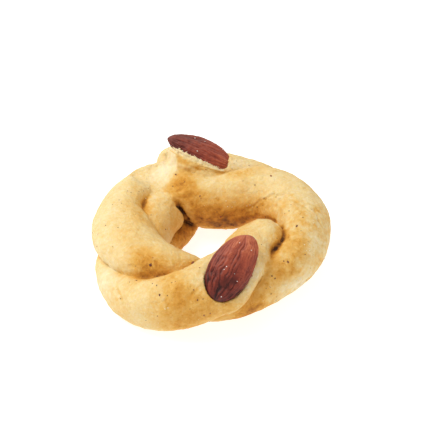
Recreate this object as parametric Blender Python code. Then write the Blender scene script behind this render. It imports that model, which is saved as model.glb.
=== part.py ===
"""Neapolitan tarallo: a ring-shaped savoury biscuit of two dough strands twisted into a rope. The
rope's cut ends overlap its start at the back left and are pinched down onto it. Two whole almonds
are pressed into the crust, one at the front and one over the cut ends.

Frame: metres, +Z up. The biscuit rests on z = 0 with the middle of its footprint over the origin,
and -Y is its front. Lengths named below are in millimetres and become metres through MM.
"""

import math

import bmesh
import bpy
import numpy as np
from mathutils import Matrix, Vector

MM = 0.001

# The rope, read round the ring from its hidden start to its cut end. Each row is one section:
# ring angle in degrees (0 = right, 90 = back), radius of the rope's middle, height of its middle,
# half the spacing of its two strands, twist in degrees, and the girth of each strand against the
# usual one. At a twist of 0 the first strand is the outer one, at 90 it lies on top.
ROPE = (
    (100, 31.0, 11.0, 4.5, 20, 0.85, 0.85),
    (122, 31.3, 14.2, 5.4, 28, 1.03, 0.92),
    (145, 30.1, 14.4, 6.0, 35, 0.96, 1.12),
    (165, 28.9, 14.4, 6.2, 48, 0.98, 1.16),
    (185, 29.0, 13.6, 6.4, 84, 1.10, 1.12),
    (215, 28.5, 11.5, 7.2, 132, 1.12, 1.00),
    (250, 26.0, 12.0, 7.0, 202, 1.00, 1.00),
    (285, 22.5, 13.0, 5.5, 275, 0.95, 1.08),
    (320, 20.5, 13.8, 6.2, 330, 0.97, 1.10),
    (355, 23.8, 13.3, 8.0, 385, 1.00, 1.05),
    (385, 30.3, 12.8, 6.5, 432, 1.05, 1.00),
    (405, 32.4, 13.9, 5.9, 468, 1.06, 1.00),
    (435, 29.8, 13.9, 6.8, 535, 1.05, 1.02),
    (460, 29.3, 16.0, 6.3, 572, 1.12, 0.95),
    (477, 33.4, 18.6, 6.4, 600, 1.30, 0.90),
    (497, 35.2, 17.6, 6.0, 615, 1.38, 0.85),
)
STRAND_ENDS = (492.0, 480.0)  # ring angle at which each strand stops
STRAND_ACROSS = 7.8  # half the strand's size towards its partner
STRAND_ALONG = 9.6  # half its size along the seam between the two
SEAT_FLATNESS = 0.72  # how far the twist is flattened by the rope's own weight
SECTIONS = 96
SIDES = 20
DRAWN_IN = 0.8  # size of the last section of a stretch that another one carries on from
START_ROUND = 20.0  # length over which a strand grows from its tucked-under start
END_ROUND = 4.0  # length over which its end rounds off

# The low tail of the rope's start, which shows inside the hole: ring angle, radius, height, half size.
TAIL = (
    (96, 27.5, 6.5, 4.5),
    (115, 21.8, 5.6, 4.8),
    (132, 19.0, 5.2, 4.8),
    (153, 18.6, 5.0, 4.8),
    (172, 20.5, 5.5, 4.2),
)
TAIL_SECTIONS = 22

# The hollow pinched across the cut ends: a round trough.
PINCH_AT = (-24.5, 30.0, 30.4)
PINCH_ALONG = (-0.8, 1.0, 0.0)
PINCH_RADIUS = 9.0
PINCH_LENGTH = 60.0
PINCH_SIDES = 32

# Almonds: where the middle is, the way the pointed end lies, and the way the broad face looks.
ALMOND_LENGTH = 24.9
ALMOND_WIDTH = 14.0
ALMOND_THICKNESS = 7.8
ALMOND_BLUNT = 0.5  # how full the outline is at the blunt end, where 0.5 is round
ALMOND_POINTED = 0.72  # and at the pointed end, where 1 is a straight-sided point
ALMOND_SECTIONS = 19
ALMONDS = {
    "almond_front": ((6.3, -25.9, 25.3), (0.442, 0.758, 0.546), (0.25, -0.60, 0.76)),
    "almond_back": ((-4.5, 35.2, 26.8), (-0.90, 0.0, 0.46), (0.42, 0.0, 0.88)),
}
# Dough raised beside an almond: where it starts and stops round the almond, in degrees from the
# pointed end, how far outside the almond and below its middle it runs, and its half size.
LIPS = {
    "almond_front": (-42.0, -172.0, 0.6, -3.6, 4.0),
    "almond_back": (28.0, 175.0, 0.4, -2.6, 3.0),
}
LIP_SECTIONS = 24
SOCKET_GAP = 0.3  # clearance between an almond and the dough it is pressed into
UNDERSIDE = 1.3  # height at which the underside is baked flat, taken off the heights above
TABLE = (120.0, 120.0, 10.0)  # the block that cuts the underside


def spline(rows, at):
    """Values of a Catmull-Rom curve through the rows, whose first column is the place along it."""
    table = np.array(rows, float)
    keys, values = table[:, 0], table[:, 1:]
    slopes = np.gradient(values, keys, axis=0)
    at = np.clip(at, keys[0], keys[-1])
    i = np.clip(np.searchsorted(keys, at, side="right") - 1, 0, len(keys) - 2)
    step = (keys[i + 1] - keys[i])[:, None]
    t = ((at - keys[i]) / (keys[i + 1] - keys[i]))[:, None]
    return (
        (2 * t**3 - 3 * t**2 + 1) * values[i]
        + (t**3 - 2 * t**2 + t) * step * slopes[i]
        + (3 * t**2 - 2 * t**3) * values[i + 1]
        + (t**3 - t**2) * step * slopes[i + 1]
    )


def ring_points(angle, radius, height):
    """Points at these ring angles in degrees, radii and heights."""
    ring = np.radians(angle)
    return np.stack([radius * np.cos(ring), radius * np.sin(ring), height], axis=1)


def strand_sections(first):
    """Centre points, half sizes and turn of one strand's sections, evenly spaced in ring angle."""
    angle = np.linspace(ROPE[0][0], STRAND_ENDS[0 if first else 1], SECTIONS)
    radius, height, spread, twist, *girths = spline(ROPE, angle).T
    girth = girths[0 if first else 1]
    turn = np.radians(twist) + (0.0 if first else math.pi)
    out = radius + spread * np.cos(turn)
    up = height + SEAT_FLATNESS * spread * np.sin(turn)
    return ring_points(angle, out, up), STRAND_ACROSS * girth, STRAND_ALONG * girth, turn


def tail_sections():
    """The same for the tail, which is round."""
    angle = np.linspace(TAIL[0][0], TAIL[-1][0], TAIL_SECTIONS)
    radius, height, size = spline(TAIL, angle).T
    return ring_points(angle, radius, height), size, size, np.zeros(TAIL_SECTIONS)


def lip_sections(place, start, stop, outside, below, size):
    """The same for the dough raised beside an almond, round and following the almond's outline."""
    angle = np.radians(np.linspace(start, stop, LIP_SECTIONS))
    reach_x = ALMOND_LENGTH / 2 + outside
    reach_y = ALMOND_WIDTH / 2 + outside
    matrix = placed(*place)
    path = [matrix @ (Vector((reach_x * math.cos(a), reach_y * math.sin(a), below)) * MM) for a in angle]
    sizes = np.full(LIP_SECTIONS, size)
    return np.array(path) / MM, sizes, sizes, np.zeros(LIP_SECTIONS)


def new_object(name, mesh):
    """An object made from the bmesh, its normals outward."""
    bmesh.ops.recalc_face_normals(mesh, faces=mesh.faces)
    if mesh.calc_volume(signed=True) < 0:
        bmesh.ops.reverse_faces(mesh, faces=mesh.faces)
    data = bpy.data.meshes.new(name)
    mesh.to_mesh(data)
    mesh.free()
    return bpy.data.objects.new(name, data)


def skin(mesh, rings):
    """Quads between neighbouring rings of vertices, or triangles where a ring is a single point."""
    for low, high in zip(rings, rings[1:]):
        for j in range(SIDES):
            k = j + 1
            corners = [low[j % len(low)], low[k % len(low)], high[k % len(high)], high[j % len(high)]]
            mesh.faces.new(list(dict.fromkeys(corners)))


def loft(name, centre, across, along, turn, start=0, stop=SECTIONS):
    """A closed tube through the sections, with both ends rounded off. Where it starts or stops short
    of them all, the section there is drawn in, so that it lies inside the stretch that carries on."""
    tangent = np.gradient(centre, axis=0)
    tangent /= np.linalg.norm(tangent, axis=1)[:, None]
    outward = np.cross(tangent, (0, 0, 1))
    outward /= np.linalg.norm(outward, axis=1)[:, None]
    upward = np.cross(outward, tangent)
    walked = np.concatenate([[0], np.cumsum(np.linalg.norm(np.diff(centre, axis=0), axis=1))])
    from_end = np.minimum(walked / START_ROUND, (walked[-1] - walked) / END_ROUND)
    taper = np.sqrt(1 - (1 - np.clip(from_end, 0, 1)) ** 2)
    mesh = bmesh.new()
    rings = []
    taper[1:start + 1] *= DRAWN_IN
    taper[stop - 1:-1] *= DRAWN_IN
    for k in range(len(centre))[start:stop]:
        toward = outward[k] * math.cos(turn[k]) + upward[k] * math.sin(turn[k])
        seam = -outward[k] * math.sin(turn[k]) + upward[k] * math.cos(turn[k])
        if taper[k] == 0:
            rings.append([mesh.verts.new(centre[k] * MM)])
            continue
        ring = []
        for j in range(SIDES):
            a = 2 * math.pi * j / SIDES
            offset = toward * across[k] * math.cos(a) + seam * along[k] * math.sin(a)
            ring.append(mesh.verts.new((centre[k] + taper[k] * offset) * MM))
        rings.append(ring)
    skin(mesh, rings)
    for ring in (rings[0], rings[-1]):
        if len(ring) > 1:
            mesh.faces.new(ring)
    return new_object(name, mesh)


def strand(first):
    """One strand in two stretches that share a section, since its end lies over its own start."""
    sections = strand_sections(first)
    half = SECTIONS // 2
    return [loft("strand", *sections, stop=half + 2), loft("strand", *sections, start=half - 1)]


def placed(middle, along, facing):
    """Matrix that lays +X along one direction and +Z as near as it can to another, at a point in mm."""
    x = Vector(along).normalized()
    y = Vector(facing).cross(x).normalized()
    z = x.cross(y)
    return Matrix.Translation(Vector(middle) * MM) @ Matrix((x, y, z)).transposed().to_4x4()


def almond(name, middle, point, facing, larger=0.0):
    """An almond, blunt at one end and pointed at the other; `larger` adds to it all round."""
    length = ALMOND_LENGTH + 2 * larger
    width = ALMOND_WIDTH / 2 + larger
    thickness = ALMOND_THICKNESS / 2 + larger
    widest = ALMOND_BLUNT / (ALMOND_BLUNT + ALMOND_POINTED)
    fullest = widest**ALMOND_BLUNT * (1 - widest) ** ALMOND_POINTED
    last = ALMOND_SECTIONS - 1
    mesh = bmesh.new()
    rings = []
    for k in range(ALMOND_SECTIONS):
        s = 0.5 - 0.5 * math.cos(math.pi * k / last)
        broad = s**ALMOND_BLUNT * (1 - s) ** ALMOND_POINTED / fullest
        x = (s - 0.5) * length
        if k in (0, last):
            rings.append([mesh.verts.new(Vector((x, 0, 0)) * MM)])
            continue
        ring = []
        for j in range(SIDES):
            a = 2 * math.pi * j / SIDES
            y = width * broad * math.cos(a)
            z = thickness * broad * math.sin(a)
            ring.append(mesh.verts.new(Vector((x, y, z)) * MM))
        rings.append(ring)
    skin(mesh, rings)
    mesh.transform(placed(middle, point, facing))
    return new_object(name, mesh)


def baked(obj):
    """Applies the object's modifiers."""
    graph = bpy.context.evaluated_depsgraph_get()
    data = bpy.data.meshes.new_from_object(obj.evaluated_get(graph))
    obj.modifiers.clear()
    obj.data = data


def combine(obj, operation, others):
    """Joins the other objects to this one, or takes them from it, and removes them."""
    group = bpy.data.collections.new("operands")
    bpy.context.scene.collection.children.link(group)
    for other in others:
        group.objects.link(other)
    boolean = obj.modifiers.new(operation, "BOOLEAN")
    boolean.operation = operation
    boolean.operand_type = "COLLECTION"
    boolean.collection = group
    boolean.solver = "MANIFOLD"  # EXACT leaves open edges where the raised dough meets a strand
    baked(obj)
    for other in others:
        bpy.data.objects.remove(other)
    bpy.data.collections.remove(group)


def keep_outer_skin(obj):
    """Fills hollows sealed between the strands and drops loose scraps, leaving one closed skin."""
    mesh = bmesh.new()
    mesh.from_mesh(obj.data)
    waiting = set(mesh.verts)
    skins = []
    while waiting:
        found = [waiting.pop()]
        for vert in found:
            near = {edge.other_vert(vert) for edge in vert.link_edges} & waiting
            waiting -= near
            found.extend(near)
        skins.append(found)
    outer = max(skins, key=len)
    for skin_verts in skins:
        if skin_verts is not outer:
            bmesh.ops.delete(mesh, geom=skin_verts, context="VERTS")
    mesh.to_mesh(obj.data)
    mesh.free()


def table():
    """The block under the biscuit that cuts its underside flat."""
    mesh = bmesh.new()
    bmesh.ops.create_cube(mesh, size=1.0)
    mesh.transform(Matrix.Diagonal(Vector(TABLE) * MM).to_4x4())
    mesh.transform(Matrix.Translation((0, 0, (UNDERSIDE - TABLE[2] / 2) * MM)))
    return new_object("table", mesh)


def trough():
    """The round bar that hollows the pinch."""
    mesh = bmesh.new()
    bmesh.ops.create_cone(mesh, cap_ends=True, segments=PINCH_SIDES, radius1=PINCH_RADIUS * MM,
                          radius2=PINCH_RADIUS * MM, depth=PINCH_LENGTH * MM)
    mesh.transform(placed(PINCH_AT, PINCH_ALONG, (0, 0, 1)) @ Matrix.Rotation(math.pi / 2, 4, "Y"))
    return new_object("pinch", mesh)


def material(name, colour, roughness):
    """A matte material of this colour."""
    made = bpy.data.materials.new(name)
    made.use_nodes = True
    shader = made.node_tree.nodes["Principled BSDF"]
    shader.inputs["Base Color"].default_value = (*colour, 1.0)
    shader.inputs["Roughness"].default_value = roughness
    shader.inputs["Metallic"].default_value = 0.0
    return made


def main():
    for obj in list(bpy.data.objects):
        bpy.data.objects.remove(obj)
    parts = bpy.data.collections.new("tarallo")
    bpy.context.scene.collection.children.link(parts)

    dough, *others = strand(True) + strand(False)
    dough.name = "dough"
    parts.objects.link(dough)
    others.append(loft("tail", *tail_sections()))
    others += [loft("lip", *lip_sections(ALMONDS[name], *LIPS[name])) for name in ALMONDS]
    combine(dough, "UNION", others)
    sockets = [almond("socket", *place, larger=SOCKET_GAP) for place in ALMONDS.values()]
    for cutter in [trough(), table()] + sockets:
        combine(dough, "DIFFERENCE", [cutter])
    keep_outer_skin(dough)
    dough.data.materials.clear()
    dough.data.materials.append(material("crust", (0.72, 0.47, 0.18), 0.75))

    for name, place in ALMONDS.items():
        nut = almond(name, *place)
        nut.data.materials.append(material(name + "_skin", (0.26, 0.065, 0.036), 0.6))
        parts.objects.link(nut)

    corners = np.array([v.co for obj in parts.objects for v in obj.data.vertices])
    middle = (corners.min(axis=0) + corners.max(axis=0)) / 2
    for obj in parts.objects:
        obj.data.transform(Matrix.Translation((-middle[0], -middle[1], -UNDERSIDE * MM)))
        obj.data.shade_smooth()


if __name__ == "__main__":
    main()
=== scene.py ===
"""Looks of the tarallo: the dough's crust with its creases, wrinkles, pits and toasted patches, the
dough torn over the back almond, two almonds with wrinkled skins, pepper, crumbs and salt.

Shapes are worked out in millimetres in the part's own layout, before it is centred, and become
metres in the row frame at the end.
"""

import itertools
import math

import bmesh
import bpy
import numpy as np
from mathutils import Matrix, Vector
from mathutils.bvhtree import BVHTree
from mathutils.kdtree import KDTree


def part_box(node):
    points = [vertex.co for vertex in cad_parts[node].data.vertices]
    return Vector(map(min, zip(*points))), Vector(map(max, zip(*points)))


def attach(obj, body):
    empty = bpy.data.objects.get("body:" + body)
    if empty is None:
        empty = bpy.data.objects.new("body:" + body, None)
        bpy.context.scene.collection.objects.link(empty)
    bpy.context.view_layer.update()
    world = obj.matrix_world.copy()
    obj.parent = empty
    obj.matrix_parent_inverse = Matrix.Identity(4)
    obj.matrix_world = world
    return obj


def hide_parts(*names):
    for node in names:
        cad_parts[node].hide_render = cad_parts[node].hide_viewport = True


MM = 0.001

# The rope: ring angle, radius, height, half spacing of its strands, twist, girth of each strand.
ROPE = (
    (100, 31.0, 11.0, 4.5, 20, 0.85, 0.85),
    (122, 31.3, 14.2, 5.4, 28, 1.03, 0.92),
    (145, 30.1, 14.4, 6.0, 35, 0.96, 1.12),
    (165, 28.9, 14.4, 6.2, 48, 0.98, 1.16),
    (185, 29.0, 13.6, 6.4, 84, 1.10, 1.12),
    (215, 28.5, 11.5, 7.2, 132, 1.12, 1.00),
    (250, 26.0, 12.0, 7.0, 202, 1.00, 1.00),
    (285, 22.5, 13.0, 5.5, 275, 0.95, 1.08),
    (320, 20.5, 13.8, 6.2, 330, 0.97, 1.10),
    (355, 23.8, 13.3, 8.0, 385, 1.00, 1.05),
    (385, 30.3, 12.8, 6.5, 432, 1.05, 1.00),
    (405, 32.4, 13.9, 5.9, 468, 1.06, 1.00),
    (435, 29.8, 13.9, 6.8, 535, 1.05, 1.02),
    (460, 29.3, 16.0, 6.3, 572, 1.12, 0.95),
    (477, 33.4, 18.6, 6.4, 600, 1.30, 0.90),
    (497, 35.2, 17.6, 6.0, 615, 1.38, 0.85),
)
# Where on the ring each strand ends, the strands' half sizes, and the tubes' sections and sides.
STRAND_ENDS = (492.0, 480.0)
STRAND_ACROSS = 7.8
STRAND_ALONG = 9.6
SEAT_FLATNESS = 0.72
SECTIONS = 240
SIDES = 64
THIN_SIDES = 32
DRAWN_IN = 0.8
START_ROUND = 20.0
END_ROUND = 4.0
# The low tail inside the hole: ring angle, radius, height and half size.
TAIL = (
    (96, 27.5, 6.5, 4.5),
    (115, 21.8, 5.6, 4.8),
    (132, 19.0, 5.2, 4.8),
    (153, 18.6, 5.0, 4.8),
    (172, 20.5, 5.5, 4.2),
)
TAIL_SECTIONS = 50
# The swell of the front strand where it dives under the right one: its ends and half sizes.
SWELL_FROM = (16.6, -13.6, 20.6)
SWELL_TO = (18.0, 2.6, 17.8)
SWELL_ACROSS = 7.4
SWELL_HIGH = 6.8
SWELL_ROUND = 8.0
# The trough that the pinch left across the cut ends, as a round bar taken away.
PINCH_AT = (-24.5, 30.0, 30.4)
PINCH_ALONG = (-0.8, 1.0, 0.0)
PINCH_RADIUS = 9.0
PINCH_LENGTH = 60.0
PINCH_SIDES = 96
# The almonds: sizes, how fast each end narrows, then middle, direction to the tip and facing.
ALMOND_LENGTH = 24.9
ALMOND_WIDTH = 14.0
ALMOND_THICKNESS = 7.8
ALMOND_BLUNT = 0.5
ALMOND_POINTED = 0.72
ALMONDS = {
    "almond_front": ((6.3, -25.9, 25.3), (0.442, 0.758, 0.546), (0.25, -0.60, 0.76)),
    "almond_back": ((-4.5, 35.2, 26.8), (-0.90, 0.0, 0.46), (0.42, 0.0, 0.88)),
}
# Dough raised round each almond: its span of angles, how far outside and below, and half size.
LIPS = {
    "almond_front": (-42.0, -172.0, 0.6, -3.6, 4.0),
    "almond_back": (28.0, 175.0, 0.4, -2.6, 3.0),
}
LIP_SECTIONS = 50
# Stations and sides of an almond: of its socket, of its solid in part.py and of its skin.
SOCKET_GRID = (60, 60)
SOLID_GRID = (19, 20)
SKIN_GRID = (260, 170)
SOCKET_GAP = 0.05
# The height that the underside is cut flat at, the block that cuts it, and the crust's mesh size.
UNDERSIDE = 1.3
TABLE = (120.0, 120.0, 10.0)
VOXEL = 0.475

# The camera: photograph size in pixels, elevation, distance, lens and the point looked at.
PHOTO = 430
ELEVATION = 38.0
DISTANCE = 500.0
LENS = 119.0
SENSOR = 36.0
LOOK_AT = (1.05, 17.6, 12.0)

# Toasted patches and painted shade in hollows and on undersides, by where the camera sees them:
# pixel, radius in mm, strength.
TOASTED_AND_SHADED = (
    (178, 183, 3, 0.35), (183, 177, 3, 0.25), (186, 190, 4, 0.35), (181, 198, 3, 0.30),
    (192, 198, 4, 0.35), (205, 208, 5, 0.45), (220, 214, 5, 0.50), (236, 214, 4, 0.45),
    (250, 207, 4, 0.40), (262, 204, 3, 0.30), (240, 201, 5, 0.25), (212, 222, 4, 0.40),
    (230, 224, 5, 0.45), (200, 216, 4, 0.35), (245, 219, 4, 0.40), (168, 212, 4, 0.10),
    (172, 222, 4, 0.16), (175, 226, 2, 0.25), (163, 222, 3, 0.15), (160, 201, 3, 0.10),
    (178, 230, 3, 0.20), (174, 240, 3, 0.15), (186, 228, 4, 0.55), (182, 240, 4, 0.45),
    (192, 222, 3, 0.30), (140, 202, 4, 0.30), (146, 210, 3, 0.40), (136, 214, 4, 0.20),
    (150, 198, 3, 0.25), (150, 262, 3, 0.55), (143, 256, 3, 0.35), (157, 267, 3, 0.45),
    (166, 273, 3, 0.40), (174, 277, 3, 0.35), (147, 272, 3, 0.30), (182, 266, 4, 0.30),
    (160, 255, 5, 0.15), (185, 300, 5, 0.25), (202, 305, 5, 0.30), (175, 288, 5, 0.15),
    (216, 300, 5, 0.30), (230, 310, 5, 0.30), (165, 300, 5, 0.12), (192, 318, 6, 0.20),
    (146, 305, 5, 0.10), (280, 239, 3, 0.80), (281, 229, 2, 0.50), (276, 247, 2, 0.40),
    (274, 251, 2, 0.30), (296, 250, 3, 0.45), (303, 243, 3, 0.40), (300, 258, 3, 0.40),
    (292, 272, 2, 0.35), (286, 262, 4, 0.25), (282, 275, 3, 0.30), (277, 286, 3, 0.20),
    (296, 234, 4, 0.20), (268, 282, 3, 0.20), (262, 301, 5, 0.25), (246, 312, 4, 0.25),
    (236, 318, 3, 0.30), (188, 160, 2, 0.30), (196, 165, 2, 0.25), (182, 157, 2, 0.30),
    (232, 172, 4, 0.30), (246, 170, 4, 0.30), (259, 168, 4, 0.20), (181, 158, 2, 0.20),
    (187, 163, 2, 0.15), (181, 182, 4, 0.55), (176, 189, 3, 0.35), (187, 181, 4, 0.30),
    (171, 192, 2, 0.20), (125, 235, 6, 0.20), (230, 240, 3, 0.20), (225, 223, 4, 0.90),
    (212, 219, 3, 0.50), (238, 222, 4, 0.50), (252, 215, 3, 0.40), (190, 300, 7, 0.38),
    (172, 300, 7, 0.25), (206, 302, 7, 0.32), (190, 324, 6, 0.55), (172, 325, 5, 0.35),
    (208, 324, 5, 0.45), (222, 318, 5, 0.35), (150, 262, 5, 0.12), (168, 268, 4, 0.15),
    (140, 262, 4, 0.20), (125, 236, 4, 0.12), (252, 311, 5, 0.90), (268, 307, 4, 0.30),
    (284, 300, 3, 0.20), (188, 217, 2, 0.30), (312, 190, 5, 0.10), (290, 262, 3, 0.20),
    (303, 210, 5, 0.15),
)
# Paler patches, partly paler dough and partly painted light on sides turned to the lamp, in the
# same way.
PALE_AND_LIT = (
    (110, 205, 8, -0.16), (104, 240, 8, -0.20), (112, 285, 7, -0.20), (126, 181, 7, -0.15),
    (262, 262, 3, -0.10), (258, 276, 3, -0.12), (249, 291, 3, -0.12), (300, 286, 4, -0.22),
    (312, 276, 4, -0.20), (289, 296, 4, -0.12), (321, 226, 5, -0.10), (165, 170, 4, -0.30),
    (214, 183, 5, -0.25), (255, 186, 6, -0.10), (150, 240, 7, -0.08), (135, 300, 6, -0.15),
    (200, 285, 4, -0.15), (220, 250, 4, -0.12), (104, 285, 7, -0.65), (280, 178, 8, -0.36),
    (157, 196, 3, -0.22), (164, 205, 3, -0.10), (296, 288, 4, -0.18), (304, 281, 3, -0.18),
    (182, 151, 2, -0.20), (196, 158, 2, -0.20), (210, 166, 2, -0.20), (190, 168, 2, -0.20),
    (192, 163, 3, -0.35), (205, 277, 3, -0.15), (316, 200, 6, -0.12), (155, 197, 4, -0.12),
    (165, 213, 4, -0.06), (272, 232, 3, -0.15), (240, 165, 5, -0.32), (150, 180, 5, -0.15),
    (255, 225, 4, -0.10), (266, 172, 4, -0.10), (200, 173, 3, -0.20), (232, 186, 4, -0.12),
    (295, 176, 6, -0.12),
)
# How fast patches that overlap add up, and the most that they reach.
PATCH_GAIN = 0.9
PATCH_MOST = 0.60

# Marks along lines of pixels: depth and width in mm, how much darker, height of the torn rim in mm.
# A depth below 0 makes a ridge.
MARKS = (
    (((268, 197), (274, 194), (279, 196), (285, 193)), 0.34, 0.40, 0.03, 0.34),
    (((249, 209), (254, 206), (259, 201), (266, 199)), 0.34, 0.40, 0.06, 0.30),
    (((176.5, 153), (177, 160), (177.5, 166)), -0.50, 0.60, 0.0, 0.0),
    (((178, 165), (186, 168), (194, 170)), -0.30, 0.60, 0.0, 0.0),
    (((177, 166), (175, 175), (170, 184)), -0.30, 0.60, 0.0, 0.0),
    (((295, 284), (302, 280), (309, 275)), -0.22, 0.60, 0.0, 0.15),
    (((290, 199), (297, 202), (304, 206), (311, 213)), 0.24, 0.40, 0.06, 0.08),
    (((292, 205), (299, 209), (306, 216)), 0.20, 0.38, 0.05, 0.06),
    (((117, 289), (119, 294), (121, 299)), 0.40, 0.50, 0.20, 0.12),
    (((187, 298), (193, 293), (198, 288), (203, 284)), 0.22, 0.45, 0.10, 0.08),
    (((165, 301), (168, 304), (167, 309)), 0.30, 0.45, 0.10, 0.12),
    (((317, 216), (319, 222), (322, 228)), 0.28, 0.40, 0.10, 0.10),
    (((320, 258), (323, 262), (321, 267)), 0.55, 0.70, 0.15, 0.0),
    # The gap between the inner strands: a real groove, with painted shade for its darkness.
    (((177, 206), (180, 209), (184, 214), (188, 220)), 1.10, 0.50, 0.70, 0.0),
    (((150, 167), (150.5, 174), (153, 180), (158, 183.5)), 0.22, 0.50, 0.05, 0.0),
    (((151, 184), (152, 190)), 0.25, 0.55, 0.10, 0.0),
    (((188, 171), (194, 168), (200, 170)), 0.20, 0.60, 0.10, 0.0),
    (((262, 262), (257, 272), (252, 284)), 0.15, 0.60, 0.0, 0.0),
)
# Stains, painted shade in hollows and a painted highlight, each with an outline: corners in pixels,
# softness of the edge in pixels, strength.
STAINS_AND_SHADING = (
    (((178, 165), (184, 171), (196, 182), (200, 194), (182, 199), (170, 194), (163, 189.5),
      (170, 184), (176, 176)), 0.9, 0.08),
    (((177.5, 155), (184, 156.5), (193, 161), (202, 166), (209, 170), (200, 170.5), (194, 168),
      (186, 165), (178, 163)), 0.9, 0.11),
    (((187, 196), (200, 203), (215, 207), (235, 208), (252, 204), (263, 203), (256, 210),
      (240, 216), (225, 220), (205, 217), (192, 210)), 2.5, 0.12),
    (((194, 213), (212, 218), (232, 220), (247, 216), (258, 210), (262, 215), (240, 226),
      (215, 229), (197, 225)), 2.0, 0.22),
    (((178, 228), (192, 221), (197, 230), (186, 246), (177, 251), (175, 240)), 1.5, 0.18),
    (((156, 146), (170, 147), (176.2, 154), (176.9, 163.7), (175.6, 173.7), (168, 183),
      (160, 188.7), (151, 182.5), (148, 170), (152, 158)), 0.7, -0.09),
    (((151, 190), (156, 193), (157, 205), (150, 219), (142, 218), (145, 206)), 1.5, -0.10),
    (((275, 226), (281, 226), (284, 236), (282, 248), (276, 254), (273, 246), (277, 236)),
     2.0, 0.16),
    (((234, 314), (262, 302), (272, 305), (250, 320), (232, 323)), 2.5, 0.16),
    (((265, 262), (283, 262), (287, 276), (278, 292), (266, 300), (258, 300), (266, 285)),
     2.5, 0.10),
)
# Painted shade inside creases: pixel, reach in mm, strength.
SHADED = ((281, 226, 4, 0.65), (283, 236, 4, 0.60), (277, 250, 4, 0.35), (273, 218, 4, 0.50),
          (264, 217, 3, 0.30), (181, 211, 3, 0.50), (187, 220, 4, 0.50), (143, 204, 4, 0.30),
          (145, 196, 3, 0.30), (135, 278, 5, 0.20), (150, 282, 5, 0.25), (120, 272, 5, 0.10))
SHADED_WIDTH = 1.1
# Creases that baked shut: pixel and radius in mm.
CLOSED = ((262, 236, 3.0), (258, 227, 3.0), (265, 246, 2.5), (270, 238, 2.5), (268, 228, 2.5),
          (152, 188, 3.0), (160, 194, 3.5), (168, 199, 2.5), (176, 168, 3.0), (184, 168, 2.0))
# Bulges and dents of one strand: pixel, radius and rise in mm.
SWOLLEN = ((179, 222, 4.0, 1.5), (176, 234, 4.0, 1.2), (161, 160, 2.8, -2.0),
           (156, 163, 2.4, -1.8), (160.5, 153.5, 3.4, -0.9), (131, 174, 4.0, -1.2),
           (152, 167.5, 1.6, -0.5))
# Creases without the painted shade line: pixel and radius in mm. The line's distance there is set
# to far.
UNLINED = ((190, 164, 1.6), (197, 168, 1.8), (205, 171, 1.8), (213, 173, 1.8), (222, 175, 1.8),
           (228, 176, 1.8))
CREASE_FAR = 9.0
# Dough torn up over the back almond: its ragged upper edge and its foot, in pixels.
TORN_TOP = ((168.5, 146), (173, 146.6), (179, 149.0), (185, 152.0), (192, 155.4), (199, 159.0),
            (206, 162.3), (213, 165.6), (220, 168.3), (225, 169.8))
TORN_FOOT = ((168, 151), (173, 154), (179, 158), (185, 161.5), (192, 164.5), (199, 167),
             (206, 169), (213, 171), (220, 172.5), (226, 173))
TORN_COLUMNS = 150
TORN_ROWS = 16
TORN_THICKNESS = 1.2
# Salt crystals seen on the almonds: pixel and size in mm.
CRYSTALS_SEEN = (
    (195, 138, 0.40), (205, 141.5, 0.35), (197.3, 151, 0.45), (222.5, 149.5, 0.40),
    (239.6, 242.8, 0.35), (251.2, 250.3, 0.45), (226.5, 266.5, 0.40), (224.2, 269.5, 0.30),
    (237.3, 281.4, 0.35), (221.3, 296.8, 0.35), (234.5, 273.7, 0.30),
)
# Pepper flakes seen in the photograph: pixel, length and width in mm.
PEPPER_SEEN = (
    (150.5, 265, 1.0, 0.9), (192.8, 262.5, 1.5, 0.7), (296.8, 226, 1.0, 0.7),
    (271, 175.8, 0.9, 0.6), (175.8, 174.5, 0.6, 0.5), (172.8, 186.3, 0.6, 0.4),
    (200, 196, 0.7, 0.4), (220.8, 216.8, 0.7, 0.6), (303, 217.5, 0.4, 0.4), (289, 211, 0.5, 0.3),
    (183, 269, 0.5, 0.4), (159.5, 295, 0.8, 0.6), (136.5, 280.5, 0.6, 0.4), (193.7, 290, 0.5, 0.4),
    (197.5, 300, 0.6, 0.4), (204, 315.5, 0.7, 0.5), (198.7, 327, 0.6, 0.4), (157.5, 316, 0.4, 0.4),
    (288, 262, 0.9, 0.6), (283.7, 261, 0.5, 0.4), (272, 276, 0.5, 0.5), (275, 278.5, 0.6, 0.4),
    (271, 294, 0.5, 0.4), (276.7, 297, 0.4, 0.3), (305, 254.5, 0.5, 0.4), (181, 227.5, 0.8, 0.5),
    (165.7, 229.5, 0.5, 0.4), (127.5, 191, 0.4, 0.3), (131, 192.5, 0.4, 0.3),
    (112.5, 204.5, 0.4, 0.4), (105.7, 225.5, 0.6, 0.3), (252, 276, 0.5, 0.4), (255, 185, 0.4, 0.4),
    (264, 198, 0.4, 0.4), (257, 207, 0.5, 0.3), (217, 212, 0.5, 0.3), (201, 198.5, 0.4, 0.3),
    (151, 215, 0.3, 0.3), (167.5, 295.5, 0.4, 0.3), (120.6, 298.7, 0.4, 0.3),
    (129.5, 282, 0.4, 0.3), (152.5, 283.5, 0.5, 0.3), (199.5, 267.7, 0.5, 0.4),
    (190, 309, 0.3, 0.3), (203, 299, 0.4, 0.3), (139, 191.5, 0.3, 0.3), (119, 200, 0.4, 0.3),
    (143.5, 191, 0.3, 0.3), (118, 227.5, 0.3, 0.3), (265.5, 217, 0.5, 0.4),
    (284.8, 213.5, 0.3, 0.3), (276, 197, 0.3, 0.3), (249, 165.5, 0.4, 0.3), (232, 169, 0.3, 0.3),
    (243, 181, 0.3, 0.3), (146, 320.5, 0.3, 0.3),
)
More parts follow.
